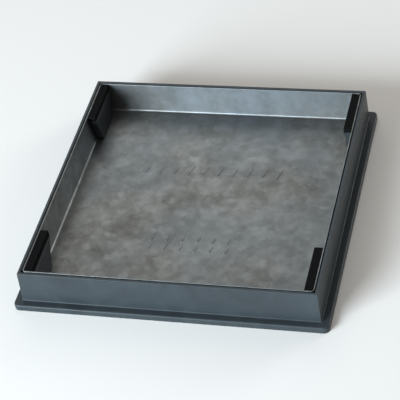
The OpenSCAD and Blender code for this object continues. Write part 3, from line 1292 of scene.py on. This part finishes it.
@dataclass
class CornerPocket:
    """One moulded pocket, its cap, and the lifting eye inside it."""

    finishes: Finishes
    corner: Corner
    end_steps: int = 8
    notch_w: float = 6.0
    notch_h: float = 1.6
    notch_in: float = 0.9
    plug_fit: float = 0.3
    bend: float = 4.0
    bead: float = 0.25
    ripples: int = 14
    ripple: float = 0.85
    first_seed: int = 11

    def cut(self, z: float, u: float) -> float:
        """How far the tapered end is cut short at height z, a share u of the way to the free side."""
        s = SIZES
        return s.foot_cut * u * u * max(0.0, (s.cap_z - z) / (s.cap_z - s.floor_z))

    def ring(self, z: float, draw_in: float, side: float = 0.0, end: float = 0.0) -> Ring:
        """The pocket's outline at a height.

        Args:
            z: The height.
            draw_in: How far it is drawn in all round.
            side: How much more it is drawn in from the tray's side wall.
            end: How much more it is drawn in at both ends.

        Returns:
            The ring, anticlockwise seen from above, in this pocket's corner.
        """
        s = SIZES
        x1, x0 = s.wall(z) - s.pocket_gap - draw_in - side, s.free_x(z) + draw_in
        y1, y0 = s.square_end(z) - draw_in - end, s.taper_end(z) + draw_in + end
        points: list[Point] = [(x1, y1), (x0, y1)]
        shares = (1 - i / self.end_steps for i in range(self.end_steps + 1))
        points += [(x1 + (x0 - x1) * u, y0 + self.cut(z, u)) for u in shares]
        rounding = max(0.4, 1.6 - draw_in * 0.5)
        radii = [max(0.5, 2.9 - draw_in), rounding, rounding] + [0.0] * (self.end_steps - 1) + [0.8]
        move = placed(self.corner)
        return [move @ Vector((x, y, z)) for x, y in fillet(points, radii, 4)]

    def shell(self) -> bpy.types.Object:
        """The pocket's shell, open at its top and foot.

        Returns:
            The shell.
        """
        s = SIZES
        t, foot, top = s.pocket_t, s.floor_z, s.cap_z
        bent = foot + s.fold
        rings = [
            self.ring(foot + 0.05, t, 0.2, s.fold),
            self.ring(foot + 0.05, 0.3, s.fold, s.fold),
            self.ring(foot + 0.4, 0.0, s.fold - 0.3, s.fold - 0.3),
            self.ring(bent, 0.0),
            *(self.ring(bent + (top - 0.5 - foot - s.fold) * k / 4, 0.0) for k in (1, 2, 3, 4)),
            self.ring(top - 0.15, 0.12),
            self.ring(top, 0.4),
            self.ring(top, t - 0.3),
            self.ring(top - 0.4, t),
            self.ring(bent + 0.5, t),
        ]
        piece = mesh_object(f"pocket_shell_{self.corner.label}", *loft(rings, close=True), smooth=40)
        piece.data.materials.append(self.finishes.pocket)
        return piece

    def cap_ring(self, z: float, draw_in: float, notch: float) -> Ring:
        """The cap's outline at a height.

        Args:
            z: The height.
            draw_in: How far it is drawn in all round.
            notch: Depth of the notch in the middle of each end.

        Returns:
            The ring, anticlockwise seen from above, in this pocket's corner.
        """
        s = SIZES
        x1, x0 = s.wall(z) - s.pocket_gap - draw_in, s.free_x(z) + draw_in
        y1, y0 = s.square_end(z) - draw_in, s.taper_end(z) + draw_in
        left, right = (x0 + x1) / 2 - self.notch_w / 2, (x0 + x1) / 2 + self.notch_w / 2
        points = [
            (x1, y1), (right, y1), (right, y1 - notch), (left, y1 - notch), (left, y1), (x0, y1),
            (x0, y0), (left, y0), (left, y0 + notch), (right, y0 + notch), (right, y0), (x1, y0),
        ]
        radii = [2.7, 0, 0, 0, 0, 0.9, 0.9, 0, 0, 0, 0, 0.9]
        move = placed(self.corner)
        return [move @ Vector((x, y, z)) for x, y in fillet(points, radii, 4)]

    def cap(self) -> bpy.types.Object:
        """The cap and its plug.

        Returns:
            Both, as one piece.
        """
        s, notch = SIZES, self.notch_in
        low, top, plug_z = s.cap_z, s.top_z, s.cap_z - s.plug
        side = (
            (low, 0.4, notch), (low + 0.3, 0.0, notch),
            (low + self.notch_h, 0.0, notch), (low + self.notch_h, 0.0, 0.0),
            (top - 0.9, 0.0, 0.0), (top - 0.55, 0.04, 0.0), (top - 0.25, 0.18, 0.0),
            (top - 0.07, 0.4, 0.0), (top, 0.8, 0.0), (top, 1.3, 0.0),
        )
        verts, faces = loft([self.cap_ring(*level) for level in side], cap_first=True, cap_last=True)
        fit = s.pocket_t + self.plug_fit
        x0, x1 = s.free_x(s.cap_z) + fit, s.wall(plug_z) - s.pocket_gap - fit
        y0, y1 = s.taper_end(plug_z) + self.cut(plug_z, 1) + fit, s.square_end(plug_z) - fit
        move = placed(self.corner)
        plug_rings: list[Ring] = []
        for z, inset in ((plug_z, 0.7), (plug_z + 0.5, 0.1), (plug_z + 1.0, 0.0), (low + 0.3, 0.0)):
            left, right, near, far = x0 + inset, x1 - inset, y0 + inset, y1 - inset
            outline = fillet([(right, far), (left, far), (left, near), (right, near)], [1.0] * 4, 3)
            plug_rings.append([move @ Vector((x, y, z)) for x, y in outline])
        more, sides = loft(plug_rings, cap_first=True, cap_last=True)
        faces += [tuple(i + len(verts) for i in f) for f in sides]
        piece = mesh_object(f"cap_{self.corner.label}_lid", verts + more, faces)
        piece.data.materials.append(self.finishes.cap)
        return piece

    def eye(self) -> list[bpy.types.Object]:
        """The bent bar, and the weld round each of its feet.

        Returns:
            The bar, and both welds as one piece.
        """
        s = SIZES
        x = (s.free_x(s.floor_z + s.eye_h + s.eye_bar / 2) + s.pocket_t + s.tray / 2 - s.fold_in) / 2
        y = s.square_end(s.floor_z) - s.fold - s.pocket_t - s.eye_gap - (s.eye_span + s.eye_bar) / 2
        move = placed(self.corner)
        half = s.eye_span / 2
        path = bpy.data.meshes.new("eye_path")
        low, high = s.floor_z, s.floor_z + s.eye_h
        corners = [(x, y - half, low), (x, y - half, high), (x, y + half, high), (x, y + half, low)]
        path.from_pydata([tuple((move @ Vector(c)) * MM) for c in corners], [(0, 1), (1, 2), (2, 3)], [])
        values = {
            "Bar Radius": s.eye_bar / 2 * MM,
            "Bend Radius": (self.bend + s.eye_bar / 2) * MM,
            "Finish": self.finishes.eye,
        }
        bar = grown(f"eye_bar_{self.corner.label}", BarTree().tree(), values, path)
        bar.data.set_sharp_from_angle(angle=math.radians(50))
        beads = []
        for i, end in enumerate((-1, 1)):
            centre = move @ Vector((x, y + end * half, s.floor_z + self.bead))
            values = {
                "Ripples": self.ripples,
                "Circle Radius": (s.eye_bar / 2 + self.bead) * MM,
                "Ripple Radius": self.ripple * MM,
                "Centre": centre * MM,
                "Seed": self.first_seed + i,
                "Finish": self.finishes.weld,
            }
            beads.append(grown("bead", BeadTree().tree(), values))
        return [bar, joined(f"eye_weld_{self.corner.label}", beads)]

    def build(self) -> None:
        label = self.corner.label
        shell, cap, (bar, weld) = self.shell(), self.cap(), self.eye()
        for piece, slot in ((shell, "pocket"), (bar, "eye"), (weld, "eye")):
            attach(piece, "tray_body")
        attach(cap, f"cap_{label}")
        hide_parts(f"key_pocket_{label}")
        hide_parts(f"pocket_cap_{label}")
        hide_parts(f"lifting_eye_{label}")
        for piece in (shell, cap, bar, weld):
            report(piece)


@dataclass
class PocketRivets:
    """Blind rivets through the tray's side walls: a domed head outside, a set end in the pocket."""

    finishes: Finishes
    shank: float = 4.0
    head: float = 7.5
    head_h: float = 1.1
    tail: float = 5.8
    tail_h: float = 2.4
    first: float = 22.0
    pitch: float = 30.0

    def seed(self) -> bpy.types.Object:
        """One rivet along +X, with its head's underside at the tray wall's outer face.

        Returns:
            The seed.
        """
        s, steps = SIZES, 24
        grip = s.sheet + (s.pocket_gap + s.pocket_t) * math.cos(s.lean)
        brim, shank, tail, end = self.head / 2, self.shank / 2, self.tail / 2, grip + self.tail_h
        profile = (
            (0.55, -0.35), (0.75, -self.head_h), (1.6, -self.head_h),
            (self.head * 0.36, -self.head_h * 0.86), (self.head * 0.46, -self.head_h * 0.45),
            (brim, -0.12), (brim - 0.08, 0.0), (shank, 0.0), (shank, grip),
            (tail - 0.5, grip), (tail, grip + 0.6), (tail, grip + 1.5), (tail - 0.7, end),
            (1.0, end), (0.7, end - 0.5),
        )
        turns = [math.tau * k / steps for k in range(steps)]
        rings = [
            [Vector((along - s.sheet, r * math.cos(a), r * math.sin(a))) for a in turns]
            for r, along in profile
        ]
        return mesh_object("blind_rivet", *loft(rings, cap_first=True, cap_last=True))

    def build(self) -> None:
        s = SIZES
        z = (s.floor_z + s.eye_h + s.eye_bar / 2 + s.cap_z - s.plug) / 2
        seed = self.seed()
        rows = []
        for corner in Corner:
            move = placed(corner)
            start = move @ Vector((s.wall(z), s.wall(z) - self.first, z))
            step = move.to_3x3() @ Vector((0, -self.pitch, 0))
            # the seed points along +X: half a turn sends it into the right-hand wall's pocket
            turn = Euler((0, -s.lean, 0 if corner.value[0] < 0 else math.pi))
            rows.append(row(seed, 2, start, step, self.finishes.rivet, turn))
        removed(seed)
        piece = joined("blind_rivets", rows)
        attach(piece, "tray_body")
        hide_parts("pocket_rivets")
        report(piece)


# ---- The studio ----


@dataclass(frozen=True)
class Softbox:
    """A square area light that faces a point."""

    name: str
    place: tuple[float, float, float]
    aim: tuple[float, float, float]
    size: float
    power: float
    colour: str = "#FFFFFF"


@dataclass
class Studio:
    """The white board, the lights and the camera."""

    board: float = 9.0
    sky: str = "#F2F1EE"
    sky_strength: float = 0.34
    camera_place: tuple[float, float, float] = (0.58120, -1.59113, 1.55430)
    azimuth: float = 20.165
    elevation: float = 42.194
    roll: float = -10.648
    lens: float = 144.06
    boxes: tuple[Softbox, ...] = (
        Softbox("key_softbox", (-2.5, -3.6, 1.35), (0.0, 0.0, 0.03), 2.4, 600.0, "#D6E4EF"),
        Softbox("back_softbox", (-0.9, 2.3, 2.3), (0.0, 0.0, 0.03), 1.8, 13.0, "#F6F7F4"),
        Softbox("side_softbox", (2.0, 2.1, 0.9), (0.0, 0.0, 0.03), 1.2, 26.0, "#F4F7F8"),
    )

    def floor(self) -> None:
        """Lays the board under the cover."""
        half = self.board / 2 / MM
        corners = [Vector((x * half, y * half, 0.0)) for x, y in ((-1, -1), (1, -1), (1, 1), (-1, 1))]
        board = mesh_object("studio_board", corners, [(0, 1, 2, 3)])
        board.data.materials.append(StudioFloor().material())

    def lights(self) -> None:
        """Hangs the softboxes and sets the sky."""
        for box in self.boxes:
            data = bpy.data.lights.new(box.name, "AREA")
            data.energy, data.size, data.color = box.power, box.size, linear(box.colour)[:3]
            light = bpy.data.objects.new(box.name, data)
            light.location = box.place
            light.rotation_euler = (Vector(box.aim) - Vector(box.place)).to_track_quat("-Z", "Y").to_euler()
            bpy.context.scene.collection.objects.link(light)
        world = bpy.data.worlds.new("studio_sky")
        world.use_nodes = True
        sky = world.node_tree.nodes["Background"]
        sky.inputs["Color"].default_value = linear(self.sky)
        sky.inputs["Strength"].default_value = self.sky_strength
        bpy.context.scene.world = world

    def camera(self) -> None:
        """Sets up the camera, turned a little about its own axis."""
        a, e = math.radians(self.azimuth), math.radians(self.elevation)
        ahead = Vector((-math.sin(a) * math.cos(e), math.cos(a) * math.cos(e), -math.sin(e)))
        turn = ahead.to_track_quat("-Z", "Y").to_matrix().to_4x4()
        data = bpy.data.cameras.new("studio_camera")
        data.lens, data.sensor_width, data.clip_end = self.lens, 36.0, 50.0
        camera = bpy.data.objects.new("studio_camera", data)
        roll = Matrix.Rotation(math.radians(self.roll), 4, "Z")
        camera.matrix_world = Matrix.Translation(self.camera_place) @ turn @ roll
        bpy.context.scene.collection.objects.link(camera)
        bpy.context.scene.camera = camera

    def build(self) -> None:
        """Sets up the studio."""
        self.floor()
        self.lights()
        self.camera()
        bpy.context.scene.view_settings.view_transform = "Standard"


def main() -> None:
    """Builds the cover from the frame up, and then the studio."""
    logging.basicConfig(level=logging.INFO, format="%(name)s: %(message)s")
    finishes = Finishes()
    FrameMoulding(finishes).build()
    FrameSeal(finishes).build()
    RecessTray(finishes).build()
    FloorStiffeners(finishes).build()
    for corner in Corner:
        CornerPocket(finishes, corner).build()
    PocketRivets(finishes).build()
    Studio().build()


if __name__ == "__main__":
    main()
